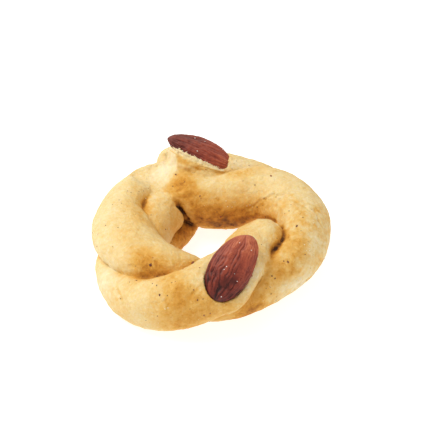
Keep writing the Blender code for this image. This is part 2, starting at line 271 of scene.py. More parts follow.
# Pale crumbs seen on the crust: pixel and size in mm.
CRUMBS_SEEN = (
    (304.5, 244.7, 0.45), (309.3, 244.0, 0.40), (306.6, 250.8, 0.35), (313.7, 223, 0.45),
    (318, 227, 0.45), (320, 230, 0.35), (250, 205, 0.40), (252.5, 207, 0.35), (226, 201, 0.35),
    (120, 296, 0.40), (144.7, 315, 0.35), (158.5, 323, 0.35), (150.5, 279.5, 0.35),
    (283, 194, 0.40), (273, 193, 0.40), (279, 198, 0.35), (247, 206, 0.30), (232, 207, 0.30),
    (286, 285, 0.50), (291, 283, 0.45), (297, 281, 0.50), (301, 279, 0.40), (304, 282, 0.50),
    (307, 278, 0.45), (299, 286, 0.50), (294, 289, 0.45), (303, 276, 0.40), (310, 274, 0.40),
    (289, 288, 0.40), (168, 308, 0.50), (165, 309, 0.40),
)
# How many more flakes and crumbs are strewn over the crust, and the share kept where it is seen.
PEPPER_STREWN, PEPPER_IN_VIEW = 330, 0.35
CRUMBS_STREWN, CRUMBS_IN_VIEW = 170, 0.6
# How many pits the crust has, and how many patches are tried where the photograph doesn't show it.
PITS = 420
HIDDEN_PATCHES = 260
# Unevenness all over the crust: height in mm, size of its features in mm, seed and octaves.
UNEVEN = ((0.38, 14.0, 1, 2), (0.16, 5.0, 2, 2), (0.08, 2.8, 17, 2), (0.07, 1.5, 4, 2))

# Places in build_dough's list of tubes: the front strand's late stretch, and its swell.
FRONT_LATE, SWELL = 3, 5
# Stretches of one strand carry on from each other where their lengths along it are this close.
CARRIED_ON = 15.0
# Points measured at a time against a tube's sections.
BATCH = 8000

# Each almond's skin: seed, narrowing at the tip, how much shorter it is in mm, grooves round it,
# how far they wander and how dark they are, how much lighter the tip is and how far it bends in mm.
ALMOND_LOOKS = {
    "almond_front": (11, 0.54, 0.7, 4.8, 0.12, 0.75, 1.90, 1.9),
    "almond_back": (24, 0.66, 0.0, 4.8, 0.05, 0.5, -1.5, 0.0),
}
# Grooves along an almond's skin: how many along it, and round it for each of its own, seed, width
# as a share of a cell, height in mm and how dark.
GROOVES = (
    (2.0, 1.0, 2, 0.15, -0.28, 0.70),
    (2.8, 1.4, 4, 0.15, -0.20, 0.55),
    (4.5, 2.4, 3, 0.20, -0.10, 0.30),
)

# Colours by toasting with its painted shade and light, or by depth; the crease lines' painted
# shade; and the dark and light colours of what is strewn.
CRUST_COLOURS = (
    (0.0, (0.89, 0.76, 0.54)),
    (0.2, (0.83, 0.62, 0.31)),
    (0.38, (0.77, 0.45, 0.125)),
    (0.56, (0.65, 0.30, 0.045)),
    (0.72, (0.44, 0.17, 0.022)),
    (1.0, (0.07, 0.025, 0.010)),
)
ALMOND_COLOURS = (
    (0.0, (0.035, 0.006, 0.005)),
    (0.35, (0.16, 0.023, 0.014)),
    (0.7, (0.36, 0.068, 0.033)),
    (1.0, (0.61, 0.18, 0.080)),
)
CREASE_SHADE_COLOUR = (0.38, 0.17, 0.045)
YELLOWER = (1.0, 0.97, 0.70)
# A greyish painted sheen, partly dust, for the almonds' upward faces.
DUST_AND_SHEEN_COLOUR = (0.50, 0.30, 0.25)
PEPPER_COLOURS = ((0.055, 0.016, 0.011), (0.36, 0.10, 0.045))
CRUMB_COLOURS = ((0.80, 0.62, 0.32), (0.95, 0.88, 0.68))
SALT_COLOURS = ((0.80, 0.78, 0.74), (0.95, 0.94, 0.92))

# Lights: name, place and size in metres, power in watts and colour, all aimed at one point.
LIGHTS = (
    ("key", (-0.34, 0.02, 0.55), 0.35, 3.0, (0.965, 0.99, 0.95)),
    ("fill", (0.46, -0.26, 0.40), 0.5, 0.45, (1.0, 0.98, 0.95)),
)
AIM = (0, 0, 0.01)
WORLD_COLOUR = (1.0, 0.97, 0.91, 1)
WORLD_STRENGTH = 0.62
FLOOR_SIDE = 6.0
FLOOR_GLOW = 0.78


# ---------------------------------------------------------------- shapes of the part


def spline(rows, at):
    """Values of a Catmull-Rom curve through the rows, whose first column is the place along it."""
    table = np.array(rows, float)
    keys, values = table[:, 0], table[:, 1:]
    slopes = np.gradient(values, keys, axis=0)
    at = np.clip(at, keys[0], keys[-1])
    i = np.clip(np.searchsorted(keys, at, side="right") - 1, 0, len(keys) - 2)
    step = (keys[i + 1] - keys[i])[:, None]
    t = ((at - keys[i]) / (keys[i + 1] - keys[i]))[:, None]
    return (
        (2 * t**3 - 3 * t**2 + 1) * values[i]
        + (t**3 - 2 * t**2 + t) * step * slopes[i]
        + (3 * t**2 - 2 * t**3) * values[i + 1]
        + (t**3 - t**2) * step * slopes[i + 1]
    )


def ring_points(angle, radius, height):
    ring = np.radians(angle)
    return np.stack([radius * np.cos(ring), radius * np.sin(ring), height], axis=1)


def placed(middle, along, facing):
    """Matrix that puts X along and Z close to facing, at the middle."""
    x = Vector(along).normalized()
    y = Vector(facing).cross(x).normalized()
    z = x.cross(y)
    return Matrix.Translation(Vector(middle)) @ Matrix((x, y, z)).transposed().to_4x4()


class Tube:
    """A strand, tail or lip: its sections, and how far a point is from its skin."""

    def __init__(self, centre, across, along, turn, start_round=START_ROUND, end_round=END_ROUND):
        self.centre = centre
        self.turn = turn
        self.tangent = np.gradient(centre, axis=0)
        self.tangent /= np.linalg.norm(self.tangent, axis=1)[:, None]
        outward = np.cross(self.tangent, (0, 0, 1))
        self.outward = outward / np.linalg.norm(outward, axis=1)[:, None]
        self.upward = np.cross(self.outward, self.tangent)
        steps = np.linalg.norm(np.diff(centre, axis=0), axis=1)
        self.walked = np.concatenate([[0], np.cumsum(steps)])
        left = self.walked[-1] - self.walked
        from_end = np.minimum(self.walked / start_round, left / end_round)
        taper = np.sqrt(1 - (1 - np.clip(from_end, 0, 1)) ** 2)
        self.taper = np.maximum(taper, 0.02)
        self.across = across * self.taper
        self.along = along * self.taper

    def part(self, start, stop):
        """The stretch between two sections."""
        other = object.__new__(Tube)
        for name, value in self.__dict__.items():
            setattr(other, name, value[start:stop])
        return other

    def mesh(self, name, sides=SIDES, draw_first=False, draw_last=False):
        """A closed tube as an object."""
        a = np.linspace(0, 2 * math.pi, sides, endpoint=False)
        shrink = np.ones(len(self.centre))
        shrink[0] = DRAWN_IN if draw_first else 1.0
        shrink[-1] = DRAWN_IN if draw_last else 1.0
        c, s = np.cos(self.turn), np.sin(self.turn)
        toward = self.outward * c[:, None] + self.upward * s[:, None]
        seam = self.upward * c[:, None] - self.outward * s[:, None]
        points = (
            self.centre[:, None]
            + toward[:, None] * ((self.across * shrink)[:, None] * np.cos(a))[..., None]
            + seam[:, None] * ((self.along * shrink)[:, None] * np.sin(a))[..., None]
        ).reshape(-1, 3)
        return new_object(name, points, grid_faces(len(self.centre), sides))

    def nearest(self, points):
        """Distance from the skin, length along the tube and angle round it, for each point."""
        best = np.empty(len(points), int)
        for first in range(0, len(points), BATCH):
            some = points[first : first + BATCH]
            gap = (some**2).sum(1)[:, None] - 2 * some @ self.centre.T + (self.centre**2).sum(1)
            best[first : first + BATCH] = gap.argmin(axis=1)
        away = points - self.centre[best]
        x = (away * self.outward[best]).sum(1)
        y = (away * self.upward[best]).sum(1)
        w = (away * self.tangent[best]).sum(1)
        c, s = np.cos(self.turn[best]), np.sin(self.turn[best])
        p, q = x * c + y * s, y * c - x * s
        out = np.hypot(p / self.across[best], q / self.along[best])
        size = np.hypot(p, q)
        beyond = np.where((best == 0) | (best == len(self.centre) - 1), np.abs(w), 0)
        gap = size * (1 - 1 / np.maximum(out, 1e-6)) + beyond
        return gap, self.walked[best] + w, np.arctan2(q, p)


def strand(first):
    """The first or the second strand of the rope."""
    angle = np.linspace(ROPE[0][0], STRAND_ENDS[0 if first else 1], SECTIONS)
    radius, height, spread, twist, *girths = spline(ROPE, angle).T
    girth = girths[0 if first else 1]
    turn = np.radians(twist) + (0.0 if first else math.pi)
    out = radius + spread * np.cos(turn)
    up = height + SEAT_FLATNESS * spread * np.sin(turn)
    return Tube(ring_points(angle, out, up), STRAND_ACROSS * girth, STRAND_ALONG * girth, turn)


def tail():
    angle = np.linspace(TAIL[0][0], TAIL[-1][0], TAIL_SECTIONS)
    radius, height, size = spline(TAIL, angle).T
    return Tube(ring_points(angle, radius, height), size, size, np.zeros(TAIL_SECTIONS))


def swell():
    """The rounded end of the front strand, where it dives under the right one."""
    share = np.linspace(0, 1, TAIL_SECTIONS)[:, None]
    path = (1 - share) * np.array(SWELL_FROM) + share * np.array(SWELL_TO)
    sizes = np.ones(TAIL_SECTIONS)
    return Tube(path, SWELL_ACROSS * sizes, SWELL_HIGH * sizes, 0 * sizes, SWELL_ROUND, SWELL_ROUND)


def lip(place, start, stop, outside, below, size):
    """Dough raised round an almond between two angles."""
    angle = np.radians(np.linspace(start, stop, LIP_SECTIONS))
    x = (ALMOND_LENGTH / 2 + outside) * np.cos(angle)
    y = (ALMOND_WIDTH / 2 + outside) * np.sin(angle)
    path = to_world(placed(*place), np.stack([x, y, np.full_like(x, below)], axis=1))
    sizes = np.full(LIP_SECTIONS, size)
    return Tube(path, sizes, sizes, np.zeros(LIP_SECTIONS))


def to_world(matrix, points):
    m = np.array(matrix)
    return points @ m[:3, :3].T + m[:3, 3]


def in_scene(name, data):
    """An object in the scene that holds this mesh, light or camera."""
    made = bpy.data.objects.new(name, data)
    bpy.context.scene.collection.objects.link(made)
    return made


def new_object(name, points, faces):
    """An object in the scene with these points in mm, its normals outward."""
    data = bpy.data.meshes.new(name)
    data.from_pydata(np.asarray(points).tolist(), [], faces)
    mesh = bmesh.new()
    mesh.from_mesh(data)
    bmesh.ops.recalc_face_normals(mesh, faces=mesh.faces)
    if mesh.calc_volume(signed=True) < 0:
        bmesh.ops.reverse_faces(mesh, faces=mesh.faces)
    mesh.to_mesh(data)
    mesh.free()
    return in_scene(name, data)


def baked(obj):
    """Applies the object's modifiers."""
    graph = bpy.context.evaluated_depsgraph_get()
    data = bpy.data.meshes.new_from_object(obj.evaluated_get(graph))
    obj.modifiers.clear()
    obj.data = data


def combine(obj, operation, others):
    """Joins the other objects to this one, or takes them from it, and removes them."""
    group = bpy.data.collections.new("operands")
    bpy.context.scene.collection.children.link(group)
    for other in others:
        group.objects.link(other)
    boolean = obj.modifiers.new(operation, "BOOLEAN")
    boolean.operation = operation
    boolean.operand_type = "COLLECTION"
    boolean.collection = group
    boolean.solver = "MANIFOLD"
    baked(obj)
    for other in others:
        bpy.data.objects.remove(other)
    bpy.data.collections.remove(group)


def keep_outer_skin(obj):
    """Drops all but the largest connected skin."""
    mesh = bmesh.new()
    mesh.from_mesh(obj.data)
    waiting = set(mesh.verts)
    skins = []
    while waiting:
        found = [waiting.pop()]
        for vert in found:
            near = {edge.other_vert(vert) for edge in vert.link_edges} & waiting
            waiting -= near
            found.extend(near)
        skins.append(found)
    outer = max(skins, key=len)
    for skin in skins:
        if skin is not outer:
            bmesh.ops.delete(mesh, geom=skin, context="VERTS")
    mesh.to_mesh(obj.data)
    mesh.free()


def almond_outline(s, pointed=ALMOND_POINTED):
    """Half width of the almond, as a share of its greatest, at this share of its length."""
    widest = ALMOND_BLUNT / (ALMOND_BLUNT + pointed)
    fullest = widest**ALMOND_BLUNT * (1 - widest) ** pointed
    return s**ALMOND_BLUNT * (1 - s) ** pointed / fullest


def almond_grid(stations, sides, larger=0.0, pointed=ALMOND_POINTED):
    """Points of an almond, station by station."""
    s = 0.5 - 0.5 * np.cos(np.linspace(0, math.pi, stations))
    s[0], s[-1] = 1e-4, 1 - 1e-4
    a = np.linspace(0, 2 * math.pi, sides, endpoint=False)
    s, a = np.meshgrid(s, a, indexing="ij")
    broad = almond_outline(s, pointed)
    x = (s - 0.5) * (ALMOND_LENGTH + 2 * larger)
    y = (ALMOND_WIDTH / 2 + larger) * broad * np.cos(a)
    z = (ALMOND_THICKNESS / 2 + larger) * broad * np.sin(a)
    return np.stack([x, y, z], axis=-1).reshape(-1, 3)


def grid_faces(rows, sides):
    """Faces of a closed tube of rings, with its two caps."""
    k = np.arange(rows - 1)[:, None] * sides
    j = np.arange(sides)[None, :]
    n = (j + 1) % sides
    quads = np.stack([k + j, k + n, k + sides + n, k + sides + j], axis=-1).reshape(-1, 4)
    last = (rows - 1) * sides
    return quads.tolist() + [list(range(sides))[::-1], list(range(last, last + sides))]


# ---------------------------------------------------------------- noise and smoothing


OCTAVE_TURN = np.array(Matrix.Rotation(0.9, 3, Vector((0.36, 0.48, 0.8))))


def lattice(cell, seed):
    """A repeatable value from -1 to 1 for each whole point."""
    n = (cell[:, 0] * 73856093) ^ (cell[:, 1] * 19349663) ^ (cell[:, 2] * 83492791)
    n = (n ^ (seed * 2654435761)) & 0xFFFFFFFF
    n = ((n ^ (n >> 13)) * 1274126177) & 0xFFFFFFFF
    n = n ^ (n >> 16)
    return (n & 0xFFFF) / 32767.5 - 1.0


def noise(points, size, seed, octaves=1):
    """Smooth noise from about -1 to 1 with features of this size."""
    total = np.zeros(len(points))
    weight = 1.0
    q = points / size
    for octave in range(octaves):
        base = np.floor(q).astype(np.int64)
        f = q - base
        f = f * f * f * (f * (f * 6 - 15) + 10)
        for corner in itertools.product((0, 1), repeat=3):
            w = np.prod(np.where(corner, f, 1 - f), axis=1)
            total += weight * w * lattice(base + corner, seed * 31 + octave)
        weight *= 0.5
        q = q @ OCTAVE_TURN * 2.03
    return total


def bell(x, width):
    """1 at 0, falling smoothly on both sides."""
    return np.exp(-((x / width) ** 2))


def smooth_step(low, high, x):
    t = np.clip((x - low) / (high - low), 0, 1)
    return t * t * (3 - 2 * t)


class Skin:
    """The points of a closed mesh, their neighbours and normals."""

    def __init__(self, obj):
        data = obj.data
        self.obj = obj
        self.count = len(data.vertices)
        self.points = np.empty(self.count * 3)
        data.vertices.foreach_get("co", self.points)
        self.points = self.points.reshape(-1, 3)
        edges = np.empty(len(data.edges) * 2, int)
        data.edges.foreach_get("vertices", edges)
        edges = edges.reshape(-1, 2)
        self.one = np.concatenate([edges[:, 0], edges[:, 1]])
        self.other = np.concatenate([edges[:, 1], edges[:, 0]])
        self.links = np.bincount(self.one, minlength=self.count)
        self.store()

    def store(self):
        """Writes the points to the mesh and reads its normals."""
        data = self.obj.data
        data.vertices.foreach_set("co", self.points.ravel())
        data.update()
        normals = np.empty(self.count * 3)
        data.vertex_normals.foreach_get("vector", normals)
        self.normals = normals.reshape(-1, 3)

    def mean(self, values):
        """The mean over each point's neighbours."""
        if values.ndim == 1:
            return np.bincount(self.one, values[self.other], self.count) / self.links
        return np.stack([self.mean(column) for column in values.T], axis=1)

    def relax(self, times, share=0.5, weight=1.0):
        weight = np.broadcast_to(weight, self.count)[:, None]
        for _ in range(times):
            self.points += share * weight * (self.mean(self.points) - self.points)
        self.store()

    def fill(self, times, weight=1.0):
        """Moves hollows outward along the normal, and leaves what bulges."""
        for _ in range(times):
            pull = ((self.mean(self.points) - self.points) * self.normals).sum(1)
            self.points += (0.5 * weight * np.maximum(pull, 0))[:, None] * self.normals
            self.store()

    def raise_by(self, height):
        self.points += height[:, None] * self.normals
        self.store()

    def tree(self):
        """For casting rays at the skin."""
        polygons = [polygon.vertices[:] for polygon in self.obj.data.polygons]
        return BVHTree.FromPolygons(self.points.tolist(), polygons)

    def blur(self, values, times):
        for _ in range(times):
            values = 0.5 * values + 0.5 * self.mean(values)
        return values

    def attribute(self, name, values):
        made = self.obj.data.attributes.new(name, "FLOAT", "POINT")
        made.data.foreach_set("value", np.asarray(values, np.float32))


# ---------------------------------------------------------------- the camera's own geometry


def camera_axes():
    e = math.radians(ELEVATION)
    back = np.array((0.0, -math.cos(e), math.sin(e)))
    up = np.array((0.0, math.sin(e), math.cos(e)))
    return back, up


def ray(u, v):
    """Start and direction, in mm, of the camera's ray through a pixel of the photograph."""
    back, up = camera_axes()
    x = (u / PHOTO - 0.5) * SENSOR / LENS
    y = (0.5 - v / PHOTO) * SENSOR / LENS
    way = -back + x * np.array((1.0, 0.0, 0.0)) + y * up
    return np.array(LOOK_AT) + DISTANCE * back, way / np.linalg.norm(way)


def project(points):
    """The pixels of the photograph that points fall on."""
    back, up = camera_axes()
    away = points - (np.array(LOOK_AT) + DISTANCE * back)
    depth = -(away @ back)
    across = away[:, 0] / depth * LENS / SENSOR
    rise = away @ up / depth * LENS / SENSOR
    return (across + 0.5) * PHOTO, (0.5 - rise) * PHOTO


def seen_at(tree, u, v):
    """Where the surface is seen at this pixel, and its normal, or None."""
    start, way = ray(u, v)
    hit, normal, _, _ = tree.ray_cast(Vector(start), Vector(way))
    return None if hit is None else (np.array(hit), np.array(normal))


# ---------------------------------------------------------------- the dough


def solid_of(name, mesh):
    points = [v.co[:] for v in mesh.verts]
    faces = [[v.index for v in f.verts] for f in mesh.faces]
    mesh.free()
    return new_object(name, points, faces)


def pinch_bar():
    """The round bar that takes away the pinch's trough."""
    bar = bmesh.new()
    bmesh.ops.create_cone(bar, cap_ends=True, segments=PINCH_SIDES, radius1=PINCH_RADIUS,
                          radius2=PINCH_RADIUS, depth=PINCH_LENGTH)
    bar.transform(placed(PINCH_AT, PINCH_ALONG, (0, 0, 1)) @ Matrix.Rotation(math.pi / 2, 4, "Y"))
    return solid_of("pinch", bar)


def table_block():
    """The block that cuts the underside flat."""
    block = bmesh.new()
    bmesh.ops.create_cube(block, size=1.0)
    below = Matrix.Translation((0, 0, UNDERSIDE - TABLE[2] / 2))
    block.transform(below @ Matrix.Diagonal((*TABLE, 1)))
    return solid_of("table", block)


def almond_socket(place):
    """The solid that makes room for an almond."""
    points = to_world(placed(*place), almond_grid(*SOCKET_GRID, SOCKET_GAP))
    return new_object("socket", points, grid_faces(*SOCKET_GRID))


def build_dough():
    """The crust's closed skin of small squares, and the tubes that it was made from."""
    strands = [strand(True), strand(False)]
    half = SECTIONS // 2
    tubes = []
    solids = []
    for tube in strands:
        tubes += [tube.part(0, half + 2), tube.part(half - 1, SECTIONS)]
        solids.append(tubes[-2].mesh("early", draw_last=True))
        solids.append(tubes[-1].mesh("late", draw_first=True))
    for name, tube in (("tail", tail()), ("swell", swell())):
        tubes.append(tube)
        solids.append(tube.mesh(name, sides=THIN_SIDES))
    for name in ALMONDS:
        solids.append(lip(ALMONDS[name], *LIPS[name]).mesh("lip", sides=THIN_SIDES))
    dough, *others = solids
    combine(dough, "UNION", others)
    for cutter in (pinch_bar(), table_block(), *map(almond_socket, ALMONDS.values())):
        combine(dough, "DIFFERENCE", [cutter])

    remesh = dough.modifiers.new("remesh", "REMESH")
    remesh.mode = "VOXEL"
    remesh.voxel_size = VOXEL
    baked(dough)
    keep_outer_skin(dough)
    dough.name = dough.data.name = "crust"
    return dough, tubes


def crease_distance(points, tubes):
    """For each point: which tube carries it, its place along and round it, how far the next tube's
    skin is, and that with a sign that changes across the crease between the two. Two stretches of
    one strand count as one where they carry on from each other."""
    found = [tube.nearest(points) for tube in tubes]
    gaps = np.array([f[0] for f in found])
    along = np.array([f[1] for f in found])
    round_ = np.array([f[2] for f in found])
    own = gaps.argmin(axis=0)
    pick = np.arange(len(points))
    others = gaps.copy()
    others[own, pick] = np.inf
    for one, two in ((0, 1), (1, 0), (2, 3), (3, 2)):
        carried_on = (own == one) & (np.abs(along[one] - along[two]) < CARRIED_ON)
        others[two, carried_on] = np.inf
    for one, two in ((FRONT_LATE, SWELL), (SWELL, FRONT_LATE)):
        others[two, own == one] = np.inf
    following = others.argmin(axis=0)
    apart = others[following, pick] - gaps[own, pick]
    return own, along[own, pick], round_[own, pick], apart, np.where(own < following, apart, -apart)


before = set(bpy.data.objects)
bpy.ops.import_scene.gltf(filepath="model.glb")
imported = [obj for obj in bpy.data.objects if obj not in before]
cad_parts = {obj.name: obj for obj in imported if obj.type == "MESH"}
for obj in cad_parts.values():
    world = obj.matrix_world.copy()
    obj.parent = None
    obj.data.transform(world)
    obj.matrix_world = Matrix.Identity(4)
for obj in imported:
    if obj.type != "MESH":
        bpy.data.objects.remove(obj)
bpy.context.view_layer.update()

dough, tubes = build_dough()
skin = Skin(dough)
skin.relax(2)
own, along, turned, crease, signed_crease = crease_distance(skin.points, tubes)
skin.fill(2, 0.6)
skin.relax(1)

# Where the camera sees the crust at a pixel of the photograph, to place its own marks there.
tree = skin.tree()
rng = np.random.default_rng(7)
P = skin.points.copy()
N = skin.normals.copy()
BACK, _ = camera_axes()


def around(point, radius):
    """1 at a point, falling smoothly over about this radius."""
    return np.exp(-(((P - point) ** 2).sum(1)) / radius**2)


def painted(patches, seed):
    """The sum of soft patches: pixel, radius in mm and strength."""
    total = np.zeros(skin.count)
    ragged = 1 + 0.35 * noise(P, 2.2, seed, 2)
    for u, v, radius, strength in patches:
        place = seen_at(tree, u, v)
        if place:
            total += strength * around(place[0], radius)
    total = np.sign(total) * (1 - np.exp(-np.abs(total) * PATCH_GAIN)) * PATCH_MOST
    return total * np.clip(ragged, 0.3, 1.8)


def outlined(corners, soft):
    """1 where the camera sees a point inside the outline, falling to 0 over some pixels."""
    u, v = project(P)
    inside = np.zeros(skin.count, bool)
    gap = np.full(skin.count, np.inf)
    for (u0, v0), (u1, v1) in zip(corners, corners[1:] + corners[:1]):
        if v0 != v1:
            inside ^= ((v0 > v) != (v1 > v)) & (u < (u1 - u0) * (v - v0) / (v1 - v0) + u0)
        t = ((u - u0) * (u1 - u0) + (v - v0) * (v1 - v0)) / ((u1 - u0) ** 2 + (v1 - v0) ** 2)
        t = np.clip(t, 0, 1)
        gap = np.minimum(gap, np.hypot(u - u0 - t * (u1 - u0), v - v0 - t * (v1 - v0)))
    facing = smooth_step(-0.1, 0.1, N @ BACK)
    return smooth_step(-soft, soft, np.where(inside, gap, -gap)) * facing


def seen_line(tree, pixels):
    """Points close together on the crust under a line through these pixels."""
    found = []
    for (u, v), (u_next, v_next) in zip(pixels, pixels[1:]):
        for t in np.linspace(0, 1, 9):
            place = seen_at(tree, u + t * (u_next - u), v + t * (v_next - v))
            if place:
                found.append(place[0])
    return np.array(found)


def distance_to_line(line):
    return np.sqrt(((P[:, None] - line[None]) ** 2).sum(-1).min(axis=1))


def closed_creases():
    """How torn the crust is, which is where the pinch's trough was cut, and how far its creases
    have closed, there and at the places listed."""
    bar = np.array(Vector(PINCH_ALONG).normalized())
    off = P - np.array(PINCH_AT)
    off -= np.outer(off @ bar, bar)
    from_trough = np.abs(np.linalg.norm(off, axis=1) - PINCH_RADIUS)
    closed = smooth_step(2.4, 0.8, from_trough)
    for u, v, radius in CLOSED:
        closed = np.maximum(closed, around(seen_at(tree, u, v)[0], radius))
    torn = skin.blur(smooth_step(0.9, 0.1, from_trough), 4)
    return torn, np.clip(1.6 * skin.blur(closed, 2), 0, 1)


torn, closed = closed_creases()
skin.fill(14, closed)
skin.relax(8, 0.5, closed)
P = skin.points.copy()
N = skin.normals.copy()
tree = skin.tree()


def uneven_height():
    """The crust's unevenness, wrinkles along its strands, creases, torn dough and bulges."""
    height = sum(amount * noise(P, *settings) for amount, *settings in UNEVEN)
    strand_place = np.stack(
        [along / 7.0, np.cos(turned) * 5.0, np.sin(turned) * 5.0 + own * 9], axis=1
    )
    height += 0.10 * noise(strand_place, 1.0, 3, 2)
    groove = bell(crease, 0.8) * (1 - closed)
    height -= 0.45 * groove * np.clip(1 + noise(P, 3.0, 5), 0.3, 1.3)
    height += torn * 0.14 * noise(P, 1.3, 6, 2)
    for u, v, radius, rise in SWOLLEN:
        place = seen_at(tree, u, v)[0]
        same = own == own[((P - place) ** 2).sum(1).argmin()]
        height += rise * around(place, radius) * same
    return height


def marked():
    """What the marks add to the height and to the darkness, and where their rims are torn."""
    height = np.zeros(skin.count)
    darker = np.zeros(skin.count)
    edges = np.zeros(skin.count)
    ragged = np.clip(1 + 0.6 * noise(P, 1.5, 15, 2), 0.2, 1.6)
    broken = np.clip(0.3 + noise(P, 1.2, 14), 0, 1)
    for pixels, depth, width, dark, rim_height in MARKS:
        away = distance_to_line(seen_line(tree, pixels))
        mark = bell(away, width) * ragged
        rim = bell(away - 2.0 * width, width) * broken
        height += rim_height * rim - depth * mark
        darker = np.maximum(darker, dark * mark)
        edges = np.maximum(edges, rim * min(rim_height / 0.1, 1))
    return height, darker, edges


def pitted():
    """Depth of the small pits all over the crust."""
    depths = np.zeros(skin.count)
    crust_tree = KDTree(skin.count)
    for index, point in enumerate(P):
        crust_tree.insert(point, index)
    crust_tree.balance()
    for spot in rng.choice(skin.count, PITS):
        radius = rng.uniform(0.5, 1.1)
        depth = rng.uniform(0.08, 0.26)
        for _, index, gap in crust_tree.find_range(P[spot], 2 * radius):
            depths[index] = max(depths[index], depth * math.exp(-((gap / radius) ** 2) * 2))
    return depths


def hidden_patches():
    """Patches of any tone where the photograph doesn't show the crust."""
    total = np.zeros(skin.count)
    for spot in rng.choice(skin.count, HIDDEN_PATCHES):
        if N[spot] @ BACK < 0.1:
            total += rng.uniform(-0.12, 0.34) * around(P[spot], rng.uniform(2.5, 6.5))
    return total * smooth_step(-0.05, -0.35, N @ BACK)


def crust_tone_with_shading():
    """How toasted the crust is, with painted shade in creases, hollows and undersides and painted
    light on sides turned to the lamp.
    """
    # Toasted patches with painted shade, and paler patches with painted light.
    tone = 0.36 + 0.10 * noise(P, 11.0, 8, 2) + painted(TOASTED_AND_SHADED, 9) + painted(PALE_AND_LIT, 10)
    uneven = np.clip(1 + 0.7 * noise(P, 1.4, 16, 2), 0.0, 2.0)
    # Outlined stains, painted shade in the hollows and a painted highlight.
    for corners, soft, strength in STAINS_AND_SHADING:
        tone += strength * outlined(corners, soft) * uneven
    tone += hidden_patches()
    # Darker on sides that face the hole: partly toast, partly painted shade.
    inward = -(N[:, 0] * P[:, 0] + N[:, 1] * P[:, 1]) / np.maximum(np.hypot(P[:, 0], P[:, 1]), 1)
    tone += 0.05 * smooth_step(0.2, 0.9, inward)
    right_side = smooth_step(12.0, 22.0, P[:, 0]) * smooth_step(16.0, 4.0, P[:, 1])
    tone += 0.13 * right_side * noise(P, 1.8, 18, 3)
    tone += 0.03 * smooth_step(4.5, 1.5, P[:, 2])
    # Painted shade in the creases that are still open.
    in_crease = bell(crease, 1.6) * np.clip(0.6 + noise(P, 4.0, 12), 0, 1)
    tone += 0.30 * in_crease * (1 - closed)
    # Painted shade inside the creases listed in SHADED.
    for u, v, reach, strength in SHADED:
        tone += strength * around(seen_at(tree, u, v)[0], reach) * bell(crease, SHADED_WIDTH)
    # The marks' darkness, with painted shade in the strands' gap among it, paler torn rims and
    # darker pits.
    return tone - 0.08 * torn - 0.12 * edges + darker + 0.5 * pits


def crease_line():
    """How far the crease is, with its sign, or far where it has no painted shade line."""
    unlined = closed.copy()
    for u, v, radius in UNLINED:
        unlined = np.maximum(unlined, np.clip(2 * around(seen_at(tree, u, v)[0], radius), 0, 1))
    return (1 - unlined) * signed_crease + unlined * CREASE_FAR


marks, darker, edges = marked()
pits = pitted()
skin.raise_by(uneven_height() + marks - pits)
skin.points[:, 2] = np.maximum(skin.points[:, 2], UNDERSIDE)
skin.store()
skin.attribute("bake_and_shading", crust_tone_with_shading())
skin.attribute("crease", crease_line())


def scatter(name, places, normals, sizes, seed):
    """One mesh of small lumps, each flat to the normal at its place. Sizes are length, width and
    height."""
    chips = np.random.default_rng(seed)
    ball = bmesh.new()
    bmesh.ops.create_icosphere(ball, subdivisions=2, radius=0.5)
    shape = np.array([v.co[:] for v in ball.verts])
    faces = np.array([[v.index for v in f.verts] for f in ball.faces])
    ball.free()
    count = len(places)
    spun = chips.normal(size=(count, 3))
    z = normals / np.linalg.norm(normals, axis=1)[:, None]
    x = spun - (spun * z).sum(1)[:, None] * z
    x /= np.linalg.norm(x, axis=1)[:, None]
    y = np.cross(z, x)
    lumps = shape[None] * (1 + chips.uniform(-0.28, 0.28, (count, len(shape), 1)))
    lumps = lumps * sizes[:, None, :]
    points = (
        lumps[..., :1] * x[:, None]
        + lumps[..., 1:2] * y[:, None]
        + lumps[..., 2:] * z[:, None]
        + places[:, None]
    )
    all_faces = faces[None] + (np.arange(count) * len(shape))[:, None, None]
    data = bpy.data.meshes.new(name)
    data.from_pydata(points.reshape(-1, 3).tolist(), [], all_faces.reshape(-1, 3).tolist())
    tone = data.attributes.new("tone", "FLOAT", "POINT")
    tones = np.repeat(chips.uniform(0, 1, count), len(shape))
    tone.data.foreach_set("value", tones.astype(np.float32))
    return in_scene(name, data)


def scattered_spots(count, seed, in_view, lowest=UNDERSIDE + 0.3):
    """Random points of the crust above the underside, with their normals: this share of the even
    spread where the photograph's camera sees them, and all of it elsewhere."""
    chooser = np.random.default_rng(seed)
    found = chooser.choice(np.flatnonzero(skin.points[:, 2] > lowest), count, replace=False)
    kept = (skin.normals[found] @ BACK < 0.05) | (chooser.uniform(size=count) < in_view)
    found = found[kept]
    return skin.points[found], skin.normals[found]


crust_now = skin.tree()


def seen_lumps(trees, spots, shape):
    """Places, normals and sizes of the lumps seen at these pixels on any of the trees."""
    places, normals, sizes = [], [], []
    for u, v, *measures in spots:
        for tree in trees:
            place = seen_at(tree, u, v)
            if place:
                places.append(place[0])
                normals.append(place[1])
                sizes.append(shape(*measures))
    return places, normals, sizes


def build_pepper():
    chooser = np.random.default_rng(41)
    places, normals, sizes = seen_lumps(
        (crust_now,), PEPPER_SEEN, lambda length, width: (length, width, 0.45 * width)
    )
    more, ways = scattered_spots(PEPPER_STREWN, 43, PEPPER_IN_VIEW)
    length = chooser.lognormal(-1.1, 0.32, len(more)).clip(0.18, 0.9)
    width = length * chooser.uniform(0.5, 0.95, len(more))
    places += list(more)
    normals += list(ways)
    sizes += list(np.stack([length, width, 0.5 * width], axis=1))
    places, normals, sizes = np.array(places), np.array(normals), np.array(sizes)
    return scatter("pepper_flakes", places + normals * 0.02, normals, sizes, 44)


